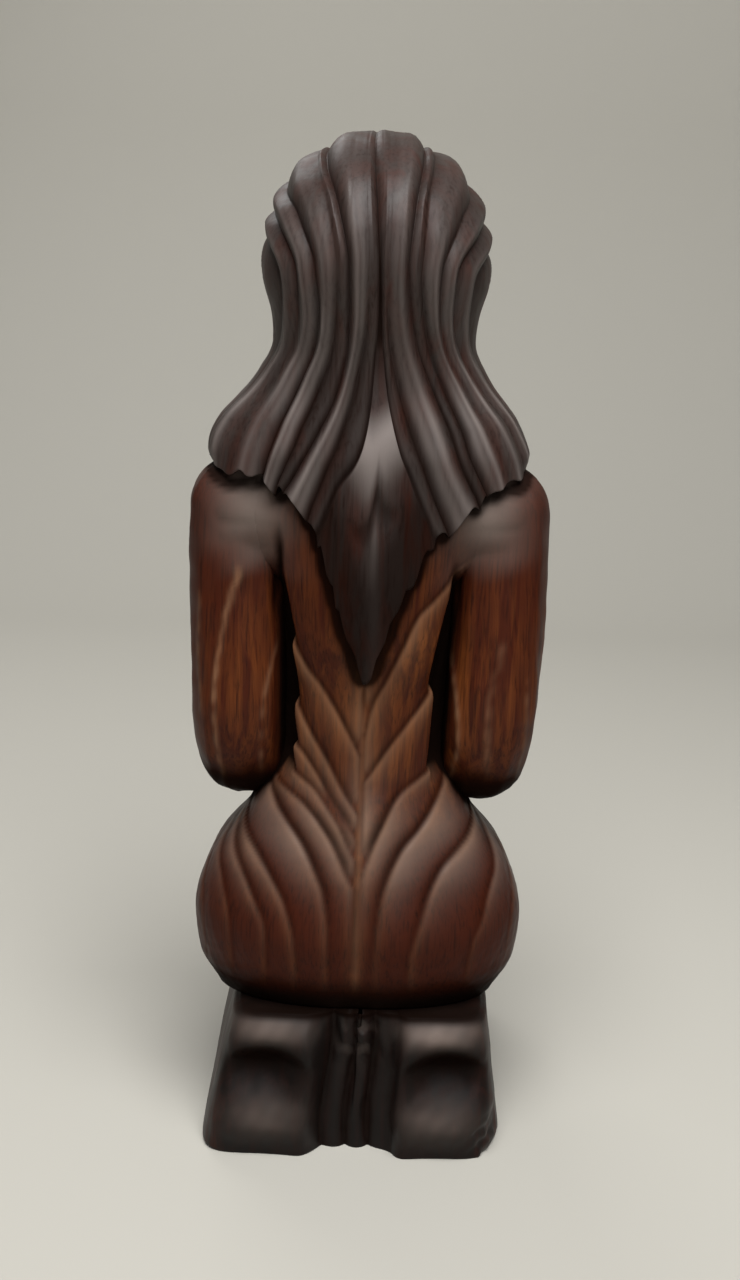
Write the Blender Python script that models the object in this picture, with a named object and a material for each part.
"""Carved wooden figure of a kneeling woman with long hair in locks, sitting back on the heels.

Lengths are in metres. +Z is up, +Y is the way the figure faces, +X is its right-hand side, and the origin is
on the floor under the middle of the figure. The carved blocks are lofts through named slices, fitted to each
other with a glue gap and joined with wooden dowels.
"""

import math
from collections import namedtuple

import bmesh
import bpy
import numpy as np

# A level slice through a carved block: its rise above the slice below, its width, and where along y it starts
# at the back, is widest and ends at the front.
Slice = namedtuple("Slice", "rise width back widest front")
# A stop along an arm: its place beside the middle, its y, its drop below the shoulder, and its half sizes.
Stop = namedtuple("Stop", "aside y drop wide thick")
# A swelling (or hollow) of a carved surface: its centre, its reach each way, and how far the surface moves.
Swell = namedtuple("Swell", "x y z reach_x reach_y reach_z move_y")
# A tilted ring of hair round the head: degrees from the crown of its back and front, and how far it wraps.
HairRing = namedtuple("HairRing", "back front wrap")
# A stop along the hem of the hair: degrees from the middle of the back, and height above the shoulders on the
# left and on the right.
HemStop = namedtuple("HemStop", "angle left right")
# A carved line between two locks: its degrees from the middle of the back at the lock levels, its depth on
# the head and on the cape, how full the lock outside it is on both, and how low the hem hangs at its end.
# All but the degrees are shares of the greatest.
LockLine = namedtuple("LockLine", "degrees head_depth cape_depth head_full cape_full tooth")

# Glue gap between two pieces, also round a dowel and past its ends.
CLEARANCE = 0.0003

# Feet block: shins and feet, with the soles on the back face.
BASE_HEIGHT = 0.068
BASE_FOOT_WIDTH = 0.1390
BASE_TOP_WIDTH = 0.1180
BASE_BACK = -0.0875
BASE_FRONT = 0.0875
BASE_BLUNTNESS = 10.0
FOOT_ASIDE = 0.0425
FOOT_HALF_WIDTH = 0.0200
ARCH_HEIGHT = 0.0410
ARCH_RISE = 0.0120
ARCH_DEPTH = 0.0120
HEEL_ROUNDING = 0.0065
HEEL_RISE = 0.0150
SOLE_GAP_HALF_WIDTH = 0.0190
SOLE_GAP_DEPTH = 0.0130
SOLE_GAP_SQUARENESS = 6.0
SOLE_FLUTE_SPACING = 0.0105
SOLE_FLUTE_DEPTH = 0.0022
KNEE_GAP_DEPTH = 0.0140
KNEE_GAP_HALF_WIDTH = 0.0110
KNEE_ROUNDING = 0.0080

# Body block: thighs, hips, waist, chest and shoulders, from the seat on the heels to the neck.
SEAT = Slice(CLEARANCE, 0.1280, -0.0730, -0.034, 0.0780)
LOW_HIPS = Slice(0.0170, 0.1450, -0.0815, -0.036, 0.0860)
HIPS = Slice(0.0200, 0.1490, -0.0860, -0.037, 0.0840)
HIGH_HIPS = Slice(0.0245, 0.1340, -0.0815, -0.037, 0.0560)
LOW_WAIST = Slice(0.0220, 0.1020, -0.0725, -0.034, 0.0220)
WAIST = Slice(0.0200, 0.0840, -0.0665, -0.030, 0.0080)
RIBS = Slice(0.0330, 0.0780, -0.0680, -0.030, 0.0070)
CHEST = Slice(0.0450, 0.0900, -0.0745, -0.032, 0.0120)
SHOULDERS = Slice(0.0400, 0.1040, -0.0735, -0.035, 0.0050)
YOKE = Slice(0.0200, 0.0900, -0.0670, -0.035, -0.0030)
NECK_SEAT = Slice(0.0100, 0.0600, -0.0570, -0.032, -0.0060)
BODY = (SEAT, LOW_HIPS, HIPS, HIGH_HIPS, LOW_WAIST, WAIST, RIBS, CHEST, SHOULDERS, YOKE, NECK_SEAT)
BODY_BLUNTNESS = 2.3
SWELL_REACH = 0.0300
THIGH_GAP_HALF_WIDTH = 0.0110
THIGH_GAP_REACH = 0.0500
THIGH_GAP_HALF_HEIGHT = 0.0340
THIGH_GAP_DEPTH = 0.0140
CLEFT_HALF_WIDTH = 0.0120
CLEFT_HALF_HEIGHT = 0.0300
CLEFT_DEPTH = 0.0050
SPINE_HALF_WIDTH = 0.0120
SPINE_HALF_HEIGHT = 0.0550
SPINE_DEPTH = 0.0030
BUST_ASIDE = 0.0210
BUST_HALF_WIDTH = 0.0190
BUST_HALF_HEIGHT = 0.0210
BUST_FULLNESS = 0.0090

# Head block: neck and a plain oval face, from the joint at the neck to the top of the skull.
NECK_FOOT = Slice(CLEARANCE, 0.0460, -0.0540, -0.031, -0.0080)
NECK = Slice(0.0140, 0.0430, -0.0520, -0.029, -0.0060)
UNDER_CHIN = Slice(0.0100, 0.0480, -0.0560, -0.026, 0.0080)
CHIN = Slice(0.0055, 0.0560, -0.0610, -0.024, 0.0225)
MOUTH = Slice(0.0140, 0.0670, -0.0660, -0.023, 0.0270)
CHEEKS = Slice(0.0190, 0.0770, -0.0700, -0.023, 0.0270)
EYES = Slice(0.0150, 0.0800, -0.0720, -0.023, 0.0250)
FOREHEAD = Slice(0.0180, 0.0770, -0.0680, -0.023, 0.0225)
HIGH_FOREHEAD = Slice(0.0130, 0.0620, -0.0570, -0.023, 0.0130)
SKULL_TOP = Slice(0.0085, 0.0120, -0.0300, -0.023, -0.0160)
HEAD = (NECK_FOOT, NECK, UNDER_CHIN, CHIN, MOUTH, CHEEKS, EYES, FOREHEAD, HIGH_FOREHEAD, SKULL_TOP)
HEAD_BLUNTNESS = 2.15
NOSE_HEIGHT = 0.0085
NOSE_LENGTH = 0.0220
NOSE_UNDERSIDE = 0.0060
NOSE_BRIDGE_HALF_WIDTH = 0.0045
NOSE_TIP_HALF_WIDTH = 0.0085
EYE_ASIDE = 0.0165
EYE_DEPTH = 0.0030
EYE_HALF_WIDTH = 0.0100
EYE_HALF_HEIGHT = 0.0070
LIP_FULLNESS = 0.0030
LIP_HALF_WIDTH = 0.0110
LIP_HALF_HEIGHT = 0.0060
FACE_REACH = 0.0300
FACE_CROWDING = 0.45

# Arms, from the shoulder down to the elbow and forward to a hand that lies on the thigh.
ARM = (
    Stop(0.0575, -0.0370, 0.0000, 0.0215, 0.0215),
    Stop(0.0583, -0.0390, 0.0450, 0.0215, 0.0220),
    Stop(0.0570, -0.0410, 0.0850, 0.0210, 0.0225),
    Stop(0.0547, -0.0360, 0.1070, 0.0203, 0.0215),
    Stop(0.0525, -0.0190, 0.1190, 0.0193, 0.0190),
    Stop(0.0485, 0.0060, 0.1280, 0.0175, 0.0170),
    Stop(0.0430, 0.0300, 0.1370, 0.0150, 0.0140),
    Stop(0.0385, 0.0460, 0.1460, 0.0130, 0.0105),
    Stop(0.0355, 0.0580, 0.1550, 0.0165, 0.0090),
    Stop(0.0335, 0.0710, 0.1665, 0.0160, 0.0070),
)
ARM_END_FLAT = 0.0011

# Hair: a mantle over the head that draws in at the nape and spreads to a scalloped hem on back and shoulders.
HAIR_OVER_SIDE = 0.0100
HAIR_OVER_BACK = 0.0130
HAIR_OVER_FRONT = 0.0075
HAIR_OVER_TOP = 0.0135
HAIR_RINGS = (
    HairRing(-58.0, -60.0, 150.0),
    HairRing(-30.0, -78.0, 146.0),
    HairRing(0.0, -90.0, 138.0),
    HairRing(25.0, -99.0, 129.0),
    HairRing(50.0, -106.0, 121.0),
    HairRing(72.0, -112.0, 114.0),
    HairRing(92.0, -118.0, 109.0),
    HairRing(108.0, -124.0, 105.0),
)
# Level slices of the hair below the head, each as its rise above the shoulders, with its width and its back.
NAPE_RISE = 0.0700
NAPE_WIDTH = 0.0865
NAPE_BACK = -0.0770
FLARE_RISE = 0.0550
FLARE_WIDTH = 0.1040
FLARE_BACK = -0.0765
SPREAD_RISE = 0.0390
SPREAD_WIDTH = 0.1280
SPREAD_BACK = -0.0800
CAPE_RISE = 0.0250
CAPE_WIDTH = 0.1400
CAPE_OVER_YOKE = 0.0160
LOW_CAPE_WIDTH = 0.1560
LOW_CAPE_OVER_BACK = 0.0110
TAIL_WIDTH = 0.1680
TAIL_OVER_BACK = 0.0042
HAIR_FRONT = 0.0200
CAPE_WRAP = 100.0
HEM = (
    HemStop(0.0, -0.0700, -0.0700),
    HemStop(11.5, -0.0215, -0.0265),
    HemStop(21.0, 0.0040, -0.0065),
    HemStop(35.0, 0.0175, 0.0075),
    HemStop(50.0, 0.0235, 0.0165),
    HemStop(76.0, 0.0265, 0.0190),
    HemStop(100.0, 0.0240, 0.0180),
)
HEM_LIP = 0.016
HEM_UNDERCUT = 0.012
HEM_TOOTH = 0.0050
TOOTH_SHARPNESS = 2.5
LOCK_DEPTH = 0.0040
LOCK_SHARPNESS = 1.5
LOCK_FADE = 2.0
# Levels down the hair, counted in rings: 0 to 7 are the rings over the head, 8 is the nape, 10 is the hem.
LOCK_LEVELS = (0.0, 3.4, 4.6, 6.0, 7.4, 8.4, 9.2, 10.0)
HEAD_LOCKS_END = 6.2
CAPE_LOCKS_START = 8.2
PANEL_START = 7.6
PANEL_FULL = 8.6
LEFT_LINES = (
    LockLine((3.0, 2.7, 0.8, -1.3, -2.2, 1.2, 11.6, 17.5), 1.0, 1.0, 1.0, 0.35, 0.2),
    LockLine((9.0, 7.0, 5.4, 3.6, 4.0, 9.6, 15.9, 21.5), 0.3, 1.0, 1.0, 1.0, 0.5),
    LockLine((52.0, 30.5, 20.7, 15.0, 15.4, 17.7, 23.9, 31.5), 1.0, 1.0, 0.4, 0.35, 0.8),
    LockLine((58.0, 35.0, 25.3, 20.7, 23.3, 27.7, 29.9, 35.0), 0.5, 1.0, 1.0, 1.0, 1.0),
    LockLine((80.0, 62.5, 44.6, 34.2, 34.0, 40.5, 39.8, 41.0), 0.8, 1.0, 1.0, 1.0, 0.1),
    LockLine((102.0, 82.0, 61.0, 47.3, 49.0, 57.0, 59.0, 60.0), 0.8, 0.2, 1.0, 1.0, 0.2),
    LockLine((124.0, 100.0, 80.0, 61.5, 67.0, 78.0, 83.0, 86.0), 0.8, 0.2, 1.0, 1.0, 0.2),
)
RIGHT_LINES = (
    LockLine((-2.0, -1.7, 0.2, 2.3, 4.0, 7.4, 15.3, 22.8), 1.0, 0.9, 1.0, 0.45, 0.3),
    LockLine((7.0, 8.0, 7.2, 6.8, 7.2, 13.8, 20.3, 28.1), 0.12, 1.0, 1.0, 1.0, 1.0),
    LockLine((46.0, 25.5, 19.9, 17.7, 22.6, 32.0, 34.0, 41.8), 1.0, 1.0, 0.4, 0.35, 0.8),
    LockLine((53.0, 31.5, 25.7, 25.0, 30.3, 38.9, 39.3, 45.7), 0.8, 1.0, 1.0, 1.0, 0.8),
    LockLine((80.0, 61.5, 47.6, 37.2, 40.3, 50.0, 53.0, 57.0), 0.8, 0.2, 1.0, 1.0, 0.2),
    LockLine((104.0, 86.0, 66.0, 47.8, 50.5, 62.0, 67.0, 71.0), 0.8, 0.2, 1.0, 1.0, 0.2),
    LockLine((126.0, 106.0, 88.0, 66.0, 70.0, 80.0, 84.0, 88.0), 0.8, 0.2, 1.0, 1.0, 0.2),
)

# Dowels, each half in one block and half in the next.
DOWEL_RADIUS = 0.0050
DOWEL_CHAMFER = 0.0010
SEAT_DOWEL_LENGTH = 0.040
SEAT_DOWEL_ASIDE = 0.036
SEAT_DOWEL_Y = -0.015
NECK_DOWEL_LENGTH = 0.032
SHOULDER_DOWEL_LENGTH = 0.028
HAIR_DOWEL_LENGTH = 0.018
HAIR_DOWEL_RADIUS = 0.0035
HAIR_DOWEL_COVER = 0.0035

# How finely the surfaces are divided.
BASE_BACK_COLUMNS = 34
BASE_SIDE_COLUMNS = 6
BASE_FRONT_COLUMNS = 12
BASE_LEVELS = 12
BODY_COLUMNS = 44
BODY_RINGS_PER_SLICE = 3
HEAD_COLUMNS = 32
HEAD_RINGS_PER_SLICE = 3
ARM_COLUMNS = 16
ARM_RINGS_PER_STOP = 2
ARM_END_RINGS = 3
LOCK_COLUMNS = 4
PANEL_COLUMNS = 5
HAIR_INNER_COLUMNS = 6
HAIR_RINGS_PER_STOP = 2
CAPE_LEVELS = 9
DOWEL_SIDES = 12
SHARP_ANGLE = 40.0

SIDES = {"left": -1.0, "right": 1.0}


def smooth_through(knots, values, at):
    """Cubic curve through the values at rising knots, read at the wanted places, that never overshoots."""
    knots = np.asarray(knots, float)
    values = np.asarray(values, float)
    step = np.diff(knots)
    slope = np.diff(values) / step
    product = slope[:-1] * slope[1:]
    total = slope[:-1] + slope[1:]
    inner = np.where(product > 0.0, 2.0 * product / np.where(product > 0.0, total, 1.0), 0.0)
    tangent = np.concatenate([slope[:1], inner, slope[-1:]])
    i = np.clip(np.searchsorted(knots, at) - 1, 0, len(step) - 1)
    t = np.clip((at - knots[i]) / step[i], 0.0, 1.0)
    rise = t * t * (3.0 - 2.0 * t)
    start = tangent[i] * (t - 2.0 * t**2 + t**3)
    end = tangent[i + 1] * (t**3 - t**2)
    return values[i] + (values[i + 1] - values[i]) * rise + step[i] * (start + end)


def through_stops(stops, field, at):
    """One field of a row of stops, read smoothly at places counted in stops."""
    return smooth_through(np.arange(len(stops)), [getattr(stop, field) for stop in stops], at)


def level_of(slices, wanted, start):
    """Height of one slice of a block that starts at a given height."""
    place = slices.index(wanted)
    return start + sum(each.rise for each in slices[: place + 1])


SHOULDER_LEVEL = level_of(BODY, SHOULDERS, BASE_HEIGHT)
CHEST_LEVEL = level_of(BODY, CHEST, BASE_HEIGHT)
RIBS_LEVEL = level_of(BODY, RIBS, BASE_HEIGHT)
HIP_LEVEL = level_of(BODY, HIPS, BASE_HEIGHT)
THIGH_LEVEL = level_of(BODY, LOW_HIPS, BASE_HEIGHT)
NECK_LEVEL = level_of(BODY, NECK_SEAT, BASE_HEIGHT)
EYE_LEVEL = level_of(HEAD, EYES, NECK_LEVEL)
MOUTH_LEVEL = level_of(HEAD, MOUTH, NECK_LEVEL)
SKULL_LEVEL = level_of(HEAD, SKULL_TOP, NECK_LEVEL)


def clear_scene():
    """Removes every object of the scene that the script starts in."""
    for thing in list(bpy.data.objects):
        bpy.data.objects.remove(thing, do_unlink=True)


def wood(name, colour, roughness):
    """A stained and varnished wood: a dielectric with a colour and a gloss."""
    material = bpy.data.materials.new(name)
    material.use_nodes = True
    shader = material.node_tree.nodes["Principled BSDF"]
    shader.inputs["Base Color"].default_value = (*colour, 1.0)
    shader.inputs["Roughness"].default_value = roughness
    shader.inputs["Metallic"].default_value = 0.0
    return material


def add_object(name, mesh, material):
    """Links a mesh to the scene as a named object with its material, smooth but for sharp edges."""
    if material:
        mesh.materials.append(material)
    mesh.shade_smooth()
    mesh.set_sharp_from_angle(angle=math.radians(SHARP_ANGLE))
    piece = bpy.data.objects.new(name, mesh)
    bpy.context.scene.collection.objects.link(piece)
    return piece


def loft(name, rings, material=None):
    """Closed solid of flat triangles over a stack of closed rings, with a fan to the middle of each end."""
    bm = bmesh.new()
    loops = [[bm.verts.new(point) for point in ring] for ring in rings]
    for lower, upper in zip(loops, loops[1:]):
        for i in range(len(lower)):
            bm.faces.new((lower[i - 1], lower[i], upper[i], upper[i - 1]))
    for ring, loop in ((rings[0], loops[0]), (rings[-1], loops[-1])):
        middle = bm.verts.new(np.mean(ring, axis=0))
        for i in range(len(loop)):
            bm.faces.new((loop[i], loop[i - 1], middle))
    bmesh.ops.recalc_face_normals(bm, faces=bm.faces)
    bmesh.ops.triangulate(bm, faces=bm.faces)
    mesh = bpy.data.meshes.new(name)
    bm.to_mesh(mesh)
    bm.free()
    return add_object(name, mesh, material)


def subtract(piece, cutter):
    """Cuts one solid out of another and keeps the cutter as a hidden wire shape."""
    cut = piece.modifiers.new(cutter.name, "BOOLEAN")
    cut.operation = "DIFFERENCE"
    cut.solver = "EXACT"
    cut.object = cutter
    cutter.hide_render = True
    cutter.display_type = "WIRE"


def round_bar(name, start, end, radius, chamfer, material=None):
    """A round bar from one point to another, with a chamfer at each end."""
    start = np.asarray(start, float)
    end = np.asarray(end, float)
    along = (end - start) / np.linalg.norm(end - start)
    aside = np.cross(along, (0.0, 0.0, 1.0) if abs(along[2]) < 0.5 else (1.0, 0.0, 0.0))
    aside = aside / np.linalg.norm(aside)
    across = np.cross(along, aside)
    turn = np.linspace(0.0, 2.0 * math.pi, DOWEL_SIDES, endpoint=False)[:, None]
    circle = np.cos(turn) * aside + np.sin(turn) * across
    rings = [
        start + circle * (radius - chamfer),
        start + along * chamfer + circle * radius,
        end - along * chamfer + circle * radius,
        end + circle * (radius - chamfer),
    ]
    return loft(name, rings, material)


def dowel(name, start, end, radius, blocks, material):
    """A dowel between two points, and its hole, longer and wider by the clearance, in the blocks it joins."""
    round_bar(name, start, end, radius, DOWEL_CHAMFER, material)
    start = np.asarray(start, float)
    end = np.asarray(end, float)
    spare = (end - start) / np.linalg.norm(end - start) * CLEARANCE
    hole = round_bar(name + "_hole", start - spare, end + spare, radius + CLEARANCE, CLEARANCE)
    for block in blocks:
        subtract(block, hole)


def blunt_ring(turn, width, back, widest, front, bluntness):
    """Rounded outline seen from above: two half superellipses that meet where it is widest."""
    sine = np.sin(turn)
    cosine = np.cos(turn)
    power = 2.0 / bluntness
    x = width / 2.0 * np.sign(sine) * np.abs(sine) ** power
    depth = np.where(cosine > 0.0, back - widest, front - widest)
    return x, widest + depth * np.abs(cosine) ** power


def stack(slices, start, per_slice, turn, bluntness, grow):
    """Rings of a block through its slices, grown all round by a gap when the block is used as a cutter."""
    at = np.linspace(0.0, len(slices) - 1.0, per_slice * (len(slices) - 1) + 1)
    heights = start + np.cumsum([each.rise for each in slices])
    z = smooth_through(np.arange(len(slices)), heights, at)
    z[0] -= grow
    z[-1] += grow
    width = through_stops(slices, "width", at) + 2.0 * grow
    back = through_stops(slices, "back", at) - grow
    widest = through_stops(slices, "widest", at)
    front = through_stops(slices, "front", at) + grow
    sizes = [each[:, None] for each in (width, back, widest, front)]
    x, y = blunt_ring(turn[None, :], *sizes, bluntness)
    return np.stack([x, y, np.broadcast_to(z[:, None], x.shape)], axis=2)


def swelled(rings, swells):
    """Moves the surface near each swell's centre along y, fading away from it as a bell curve."""
    moved = rings.copy()
    for s in swells:
        distance = (rings - (s.x, s.y, s.z)) / (s.reach_x, s.reach_y, s.reach_z)
        moved[..., 1] += s.move_y * np.exp(-np.sum(distance**2, axis=2))
    return moved


def body_rings(grow=0.0):
    """Thighs, hips, waist, back and shoulders, with the hollow of the spine and the gap of the thighs."""
    turn = np.linspace(0.0, 2.0 * math.pi, BODY_COLUMNS, endpoint=False)
    rings = stack(BODY, BASE_HEIGHT, BODY_RINGS_PER_SLICE, turn, BODY_BLUNTNESS, grow)
    front = LOW_HIPS.front
    gap = (THIGH_GAP_HALF_WIDTH, THIGH_GAP_REACH, THIGH_GAP_HALF_HEIGHT)
    cleft = (CLEFT_HALF_WIDTH, SWELL_REACH, CLEFT_HALF_HEIGHT)
    spine = (SPINE_HALF_WIDTH, SWELL_REACH, SPINE_HALF_HEIGHT)
    bust = (BUST_HALF_WIDTH, SWELL_REACH, BUST_HALF_HEIGHT)
    swells = [
        Swell(0.0, front, THIGH_LEVEL, *gap, -THIGH_GAP_DEPTH),
        Swell(0.0, HIPS.back, HIP_LEVEL, *cleft, CLEFT_DEPTH),
        Swell(0.0, RIBS.back, RIBS_LEVEL, *spine, SPINE_DEPTH),
    ]
    for side in SIDES.values():
        swells.append(Swell(side * BUST_ASIDE, CHEST.front, CHEST_LEVEL, *bust, BUST_FULLNESS))
    return swelled(rings, swells)


def nose_rise(rings):
    """Nose on the front of the head: a ridge that widens and rises from the eyes to its tip, then ends."""
    along = (EYE_LEVEL - rings[..., 2]) / NOSE_LENGTH
    under = (along - 1.0) * NOSE_LENGTH / NOSE_UNDERSIDE
    rise = NOSE_HEIGHT * np.clip(along, 0.0, 1.0) * np.clip(1.0 - under, 0.0, 1.0)
    widening = NOSE_TIP_HALF_WIDTH - NOSE_BRIDGE_HALF_WIDTH
    half_width = NOSE_BRIDGE_HALF_WIDTH + widening * np.clip(along, 0.0, 1.0)
    at_front = rings[..., 1] > NECK_FOOT.front
    return at_front * rise * np.exp(-((rings[..., 0] / half_width) ** 2))


def head_rings(grow=0.0):
    """Neck and oval head with a plain face: nose, eye hollows and lips on level lines of the head."""
    even = np.linspace(0.0, 2.0 * math.pi, HEAD_COLUMNS, endpoint=False)
    turn = even + FACE_CROWDING * np.sin(even)
    rings = stack(HEAD, NECK_LEVEL, HEAD_RINGS_PER_SLICE, turn, HEAD_BLUNTNESS, grow)
    front = EYES.front
    face = [Swell(0.0, front, MOUTH_LEVEL, LIP_HALF_WIDTH, FACE_REACH, LIP_HALF_HEIGHT, LIP_FULLNESS)]
    for side in SIDES.values():
        eye_x = side * EYE_ASIDE
        hollow = (EYE_HALF_WIDTH, FACE_REACH, EYE_HALF_HEIGHT)
        face.append(Swell(eye_x, front, EYE_LEVEL, *hollow, -EYE_DEPTH))
    rings[..., 1] += nose_rise(rings)
    return swelled(rings, face)


def base_outline(width):
    """Level outline of the feet block: a blunt oblong, with most of its columns on the back face."""
    corner = math.atan2(BASE_FOOT_WIDTH / 2.0, -BASE_BACK)
    side = np.linspace(corner, math.pi - corner, BASE_SIDE_COLUMNS + 2)[1:-1]
    front = np.linspace(math.pi - corner, math.pi + corner, BASE_FRONT_COLUMNS)
    back = np.arctan(np.linspace(-1.0, 1.0, BASE_BACK_COLUMNS) * math.tan(corner))
    turn = np.concatenate([back, side, front, 2.0 * math.pi - side[::-1]])[None, :]
    depth = np.where(np.cos(turn) > 0.0, -BASE_BACK, BASE_FRONT)
    across = np.abs(np.sin(turn)) / (width / 2.0)
    along = np.abs(np.cos(turn)) / depth
    reach = (across**BASE_BLUNTNESS + along**BASE_BLUNTNESS) ** (-1.0 / BASE_BLUNTNESS)
    return reach * np.sin(turn), -reach * np.cos(turn)


def base_rings():
    """Block of shins and feet: outlines with two soles carved in the back face and knees in the front."""
    z = np.linspace(0.0, BASE_HEIGHT, BASE_LEVELS)[:, None]
    share = z / BASE_HEIGHT
    x, y = base_outline(BASE_FOOT_WIDTH + (BASE_TOP_WIDTH - BASE_FOOT_WIDTH) * share)
    at_back = np.clip(y / BASE_BACK * 2.0 - 1.0, 0.0, 1.0)
    at_front = np.clip(y / BASE_FRONT * 2.0 - 1.0, 0.0, 1.0)
    off_foot = (np.abs(x) - FOOT_ASIDE) / FOOT_HALF_WIDTH
    arch = ARCH_DEPTH * np.exp(-(off_foot**2) - ((z - ARCH_HEIGHT) / ARCH_RISE) ** 2)
    heel = HEEL_ROUNDING * np.clip(1.0 - (BASE_HEIGHT - z) / HEEL_RISE, 0.0, 1.0) ** 2
    between = np.exp(-(np.abs(x / SOLE_GAP_HALF_WIDTH) ** SOLE_GAP_SQUARENESS))
    flutes = SOLE_GAP_DEPTH + SOLE_FLUTE_DEPTH * np.cos(2.0 * math.pi * x / SOLE_FLUTE_SPACING)
    soles = (arch + heel) * (1.0 - between) + flutes * between
    knees = KNEE_GAP_DEPTH * np.exp(-((x / KNEE_GAP_HALF_WIDTH) ** 2)) + KNEE_ROUNDING * share**2
    y = y + at_back * soles - at_front * knees
    return np.stack([x, y, np.broadcast_to(z, x.shape)], axis=2)


def arm_rings(side, grow=0.0):
    """Arm as an oval carried along a smooth path through its stops, rounded at shoulder and fingertips."""
    at = np.linspace(0.0, len(ARM) - 1.0, ARM_RINGS_PER_STOP * (len(ARM) - 1) + 1)
    path = np.stack(
        [
            side * through_stops(ARM, "aside", at),
            through_stops(ARM, "y", at),
            SHOULDER_LEVEL - through_stops(ARM, "drop", at),
        ],
        axis=1,
    )
    wide = through_stops(ARM, "wide", at) + grow
    thick = through_stops(ARM, "thick", at) + grow
    along = np.gradient(path, axis=0)
    along /= np.linalg.norm(along, axis=1)[:, None]
    shoulder_turn = np.linspace(math.acos(ARM_END_FLAT / wide[0]), 0.0, ARM_END_RINGS, endpoint=False)
    finger_turn = np.linspace(math.acos(ARM_END_FLAT / wide[-1]), 0.0, ARM_END_RINGS, endpoint=False)[::-1]
    first = path[:1] - along[:1] * (wide[0] * np.sin(shoulder_turn))[:, None]
    last = path[-1:] + along[-1:] * (thick[-1] * np.sin(finger_turn))[:, None]
    path = np.concatenate([first, path, last])
    along = np.pad(along, ((ARM_END_RINGS, ARM_END_RINGS), (0, 0)), mode="edge")
    wide = np.concatenate([wide[0] * np.cos(shoulder_turn), wide, wide[-1] * np.cos(finger_turn)])
    thick = np.concatenate([thick[0] * np.cos(shoulder_turn), thick, thick[-1] * np.cos(finger_turn)])
    over = np.cross((1.0, 0.0, 0.0), along)
    over /= np.linalg.norm(over, axis=1)[:, None]
    aside = np.cross(along, over)
    turn = np.linspace(0.0, 2.0 * math.pi, ARM_COLUMNS, endpoint=False)[None, :, None]
    across = (aside * wide[:, None])[:, None, :]
    upward = (over * thick[:, None])[:, None, :]
    return path[:, None, :] + np.cos(turn) * across + np.sin(turn) * upward


def lock_columns(lines, level, wrap):
    """Degrees, depth and hem drop of one side's columns of hair at a level, from the panel outwards.

    Between two lines the depth falls from a line to the crest of the lock and grows again to the next line.
    """
    change = np.clip((level - HEAD_LOCKS_END) / (CAPE_LOCKS_START - HEAD_LOCKS_END), 0.0, 1.0)
    edges = np.array([smooth_through(LOCK_LEVELS, line.degrees, level) for line in lines] + [wrap])
    depth = [line.head_depth + (line.cape_depth - line.head_depth) * change for line in lines]
    depth = np.array(depth + [1.0])
    full = np.array([line.head_full + (line.cape_full - line.head_full) * change for line in lines])
    tooth = np.array([line.tooth for line in lines] + [0.0])
    share = np.linspace(0.0, 1.0, LOCK_COLUMNS, endpoint=False)
    crest = 1.0 - np.abs(2.0 * share - 1.0) ** LOCK_SHARPNESS
    angle = edges[:-1, None] * (1.0 - share) + edges[1:, None] * share
    valley = depth[:-1, None] * (1.0 - share) + depth[1:, None] * share
    valley = valley * (1.0 - full[:, None] * crest)
    inner_tooth = tooth[:-1, None] * (1.0 - share) ** TOOTH_SHARPNESS
    drop = inner_tooth + tooth[1:, None] * share**TOOTH_SHARPNESS
    return np.append(angle, wrap), np.append(valley, depth[-1]), np.append(drop, tooth[-1])


def hair_columns(level, wrap):
    """Degrees, depth and hem drop of every column of hair at a level: locks on both sides of a panel."""
    left_angle, left_valley, left_drop = lock_columns(LEFT_LINES, level, wrap)
    right_angle, right_valley, right_drop = lock_columns(RIGHT_LINES, level, wrap)
    share = np.linspace(0.0, 1.0, PANEL_COLUMNS + 1)[1:-1]
    panel = -left_angle[0] + (left_angle[0] + right_angle[0]) * share
    sunk = np.full(len(share), 1.0 - np.clip((level - PANEL_START) / (PANEL_FULL - PANEL_START), 0.0, 1.0))
    drop = left_drop[0] + (right_drop[0] - left_drop[0]) * share
    return (
        np.concatenate([-left_angle[::-1], panel, right_angle]),
        np.concatenate([left_valley[::-1], sunk, right_valley]),
        np.concatenate([left_drop[::-1], drop, right_drop]),
    )


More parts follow.
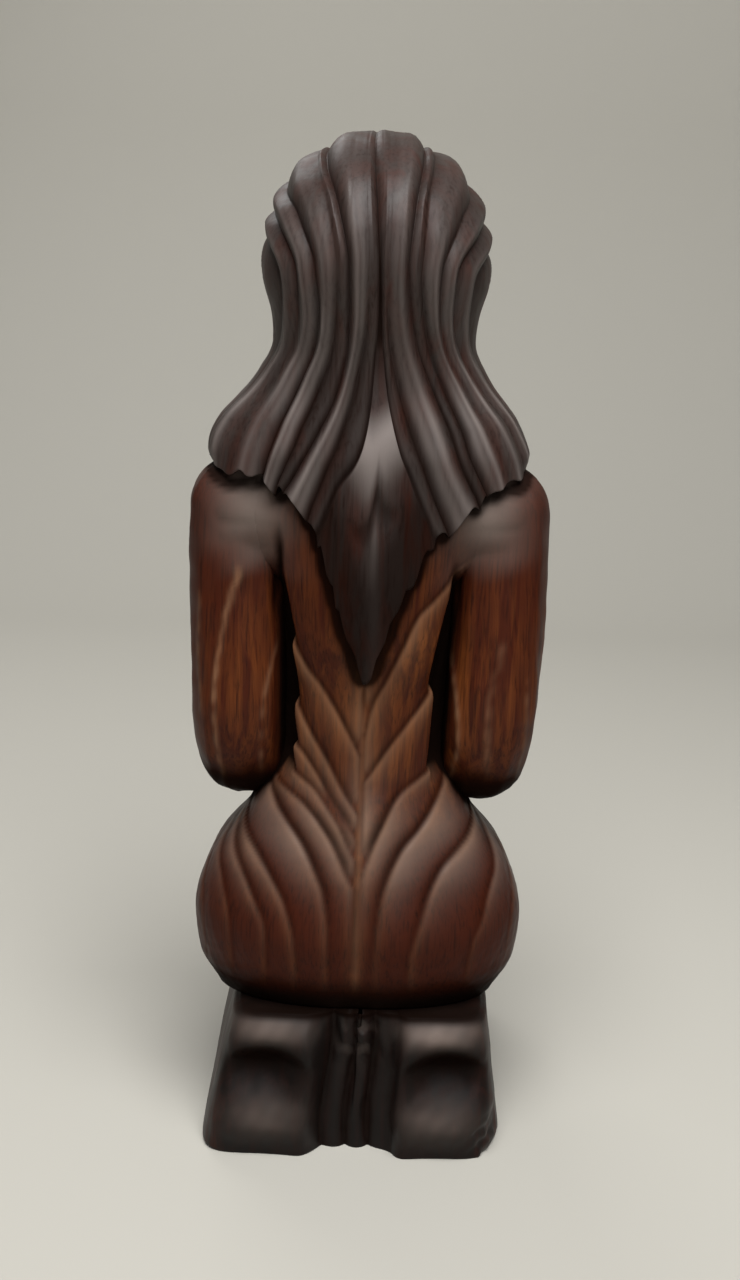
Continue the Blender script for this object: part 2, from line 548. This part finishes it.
def hair_over_head():
    """Tilted rings of hair over the head, from the forehead over the crown to the lower back of the head.

    Each ring is the slice of an ellipsoid round the head by a plane through one back and one front point.
    """
    at = np.linspace(0.0, len(HAIR_RINGS) - 1.0, HAIR_RINGS_PER_STOP * (len(HAIR_RINGS) - 1) + 1)
    back = np.radians(through_stops(HAIR_RINGS, "back", at))
    front = np.radians(through_stops(HAIR_RINGS, "front", at))
    reach_side = EYES.width / 2.0 + HAIR_OVER_SIDE
    reach_y = (EYES.front - EYES.back + HAIR_OVER_BACK + HAIR_OVER_FRONT) / 2.0
    reach_up = SKULL_LEVEL + HAIR_OVER_TOP - EYE_LEVEL
    centre_y = (EYES.front + HAIR_OVER_FRONT + EYES.back - HAIR_OVER_BACK) / 2.0
    back_y = -np.sin(back)
    back_z = np.cos(back)
    front_y = -np.sin(front)
    front_z = np.cos(front)
    middle_y = (back_y + front_y) / 2.0
    middle_z = (back_z + front_z) / 2.0
    half_width = reach_side * np.sqrt(np.maximum(1.0 - middle_y**2 - middle_z**2, 0.0))
    rings = []
    wraps = through_stops(HAIR_RINGS, "wrap", at)
    for i in range(len(at)):
        angle, valley, _ = hair_columns(at[i], wraps[i])
        turn = np.radians(angle)
        size = 1.0 - valley * LOCK_DEPTH / reach_side * min(1.0, at[i] / LOCK_FADE)
        x = half_width[i] * np.sin(turn) * size
        y = centre_y + reach_y * (middle_y[i] + (back_y[i] - middle_y[i]) * np.cos(turn) * size)
        z = EYE_LEVEL + reach_up * (middle_z[i] + (back_z[i] - middle_z[i]) * np.cos(turn) * size)
        rings.append(np.stack([x, y, z], axis=1))
    return rings


def hair_below_head():
    """Hair from the nape to the hem: slices that spread over the shoulders and run out to the hem's curve."""
    low_cape = (CHEST_LEVEL + SHOULDER_LEVEL) / 2.0
    knots = [RIBS_LEVEL, CHEST_LEVEL, low_cape, SHOULDER_LEVEL + CAPE_RISE, SHOULDER_LEVEL + SPREAD_RISE]
    knots += [SHOULDER_LEVEL + FLARE_RISE, SHOULDER_LEVEL + NAPE_RISE]
    widths = [TAIL_WIDTH, TAIL_WIDTH, LOW_CAPE_WIDTH, CAPE_WIDTH, SPREAD_WIDTH, FLARE_WIDTH, NAPE_WIDTH]
    backs = [
        RIBS.back - TAIL_OVER_BACK,
        CHEST.back - (TAIL_OVER_BACK + LOW_CAPE_OVER_BACK) / 2.0,
        SHOULDERS.back - LOW_CAPE_OVER_BACK,
        YOKE.back - CAPE_OVER_YOKE,
        SPREAD_BACK,
        FLARE_BACK,
        NAPE_BACK,
    ]
    hem_angles = [stop.angle for stop in HEM]
    top = SHOULDER_LEVEL + NAPE_RISE
    nape = len(HAIR_RINGS)
    rings = []
    for t in np.linspace(0.0, 1.0, CAPE_LEVELS):
        angle, valley, drop = hair_columns(nape + (LOCK_LEVELS[-1] - nape) * t, CAPE_WRAP)
        left_hem = smooth_through(hem_angles, [stop.left for stop in HEM], -angle)
        right_hem = smooth_through(hem_angles, [stop.right for stop in HEM], angle)
        hem = SHOULDER_LEVEL + np.where(angle < 0.0, left_hem, right_hem) - HEM_TOOTH * drop
        z = top + (hem - top) * t
        width = smooth_through(knots, widths, z)
        back = smooth_through(knots, backs, z)
        turn = np.radians(angle)
        middle = (back + HAIR_FRONT) / 2.0
        size = 1.0 - valley * LOCK_DEPTH / (NAPE_WIDTH / 2.0)
        x = width / 2.0 * np.sin(turn) * size
        y = middle + (back - middle) * np.cos(turn) * size
        rings.append(np.stack([x, y, z], axis=1))
    return rings


def hair_rings():
    """Outer skin of the hair from the forehead to the hem, turned under there, each ring closed in front."""
    rings = hair_over_head() + hair_below_head()
    hem = rings[-1]
    outward = hem[:, :2] - (0.0, (RIBS.back + RIBS.front) / 2.0)
    outward = outward / np.linalg.norm(outward, axis=1)[:, None]
    under = hem.copy()
    under[:, :2] -= outward * HEM_LIP
    under[:, 2] -= HEM_UNDERCUT
    rings.append(under)
    share = np.linspace(0.0, 1.0, HAIR_INNER_COLUMNS + 2)[1:-1, None]
    return [np.concatenate([ring, ring[-1] + (ring[0] - ring[-1]) * share]) for ring in rings]


def build_figure():
    """Makes the six carved blocks, fits each to its neighbours and joins them with dowels."""
    body_wood = wood("stained_body_wood", (0.075, 0.028, 0.013), 0.38)
    arm_wood = wood("stained_arm_wood", (0.070, 0.026, 0.012), 0.38)
    hair_wood = wood("stained_hair_wood", (0.040, 0.026, 0.023), 0.34)
    face_wood = wood("stained_face_wood", (0.080, 0.030, 0.014), 0.38)
    base_wood = wood("ebonised_base_wood", (0.008, 0.006, 0.006), 0.36)
    dowel_wood = wood("dowel_beech", (0.420, 0.260, 0.140), 0.60)

    base = loft("feet_base", base_rings(), base_wood)
    body = loft("body", body_rings(), body_wood)
    head = loft("head", head_rings(), face_wood)
    hair = loft("hair", hair_rings(), hair_wood)
    body_room = loft("body_room", body_rings(CLEARANCE))
    head_room = loft("head_room", head_rings(CLEARANCE))
    subtract(hair, body_room)
    subtract(hair, head_room)
    arms = {}
    for name, side in SIDES.items():
        arms[name] = loft(name + "_arm", arm_rings(side), arm_wood)
        subtract(arms[name], body_room)
        subtract(hair, loft(name + "_arm_room", arm_rings(side, CLEARANCE)))

    seat_half = np.array([0.0, 0.0, SEAT_DOWEL_LENGTH / 2.0])
    neck_half = np.array([0.0, 0.0, NECK_DOWEL_LENGTH / 2.0])
    neck_point = np.array([0.0, (NECK_FOOT.back + NECK_FOOT.front) / 2.0, NECK_LEVEL])
    for name, side in SIDES.items():
        seat = np.array([side * SEAT_DOWEL_ASIDE, SEAT_DOWEL_Y, BASE_HEIGHT])
        blocks = (base, body)
        dowel(name + "_seat_dowel", seat - seat_half, seat + seat_half, DOWEL_RADIUS, blocks, dowel_wood)
        half = np.array([side * SHOULDER_DOWEL_LENGTH / 2.0, 0.0, 0.0])
        shoulder = np.array([side * SHOULDERS.width / 2.0, ARM[0].y, SHOULDER_LEVEL])
        blocks = (arms[name], body)
        dowel(name + "_shoulder_dowel", shoulder - half, shoulder + half, DOWEL_RADIUS, blocks, dowel_wood)
    blocks = (body, head)
    dowel("neck_dowel", neck_point - neck_half, neck_point + neck_half, DOWEL_RADIUS, blocks, dowel_wood)
    hair_face = EYES.back - HAIR_OVER_BACK + LOCK_DEPTH
    in_hair = np.array([0.0, hair_face + HAIR_DOWEL_COVER, EYE_LEVEL])
    in_head = in_hair + (0.0, HAIR_DOWEL_LENGTH, 0.0)
    dowel("hair_dowel", in_hair, in_head, HAIR_DOWEL_RADIUS, (head, hair), dowel_wood)


clear_scene()
build_figure()
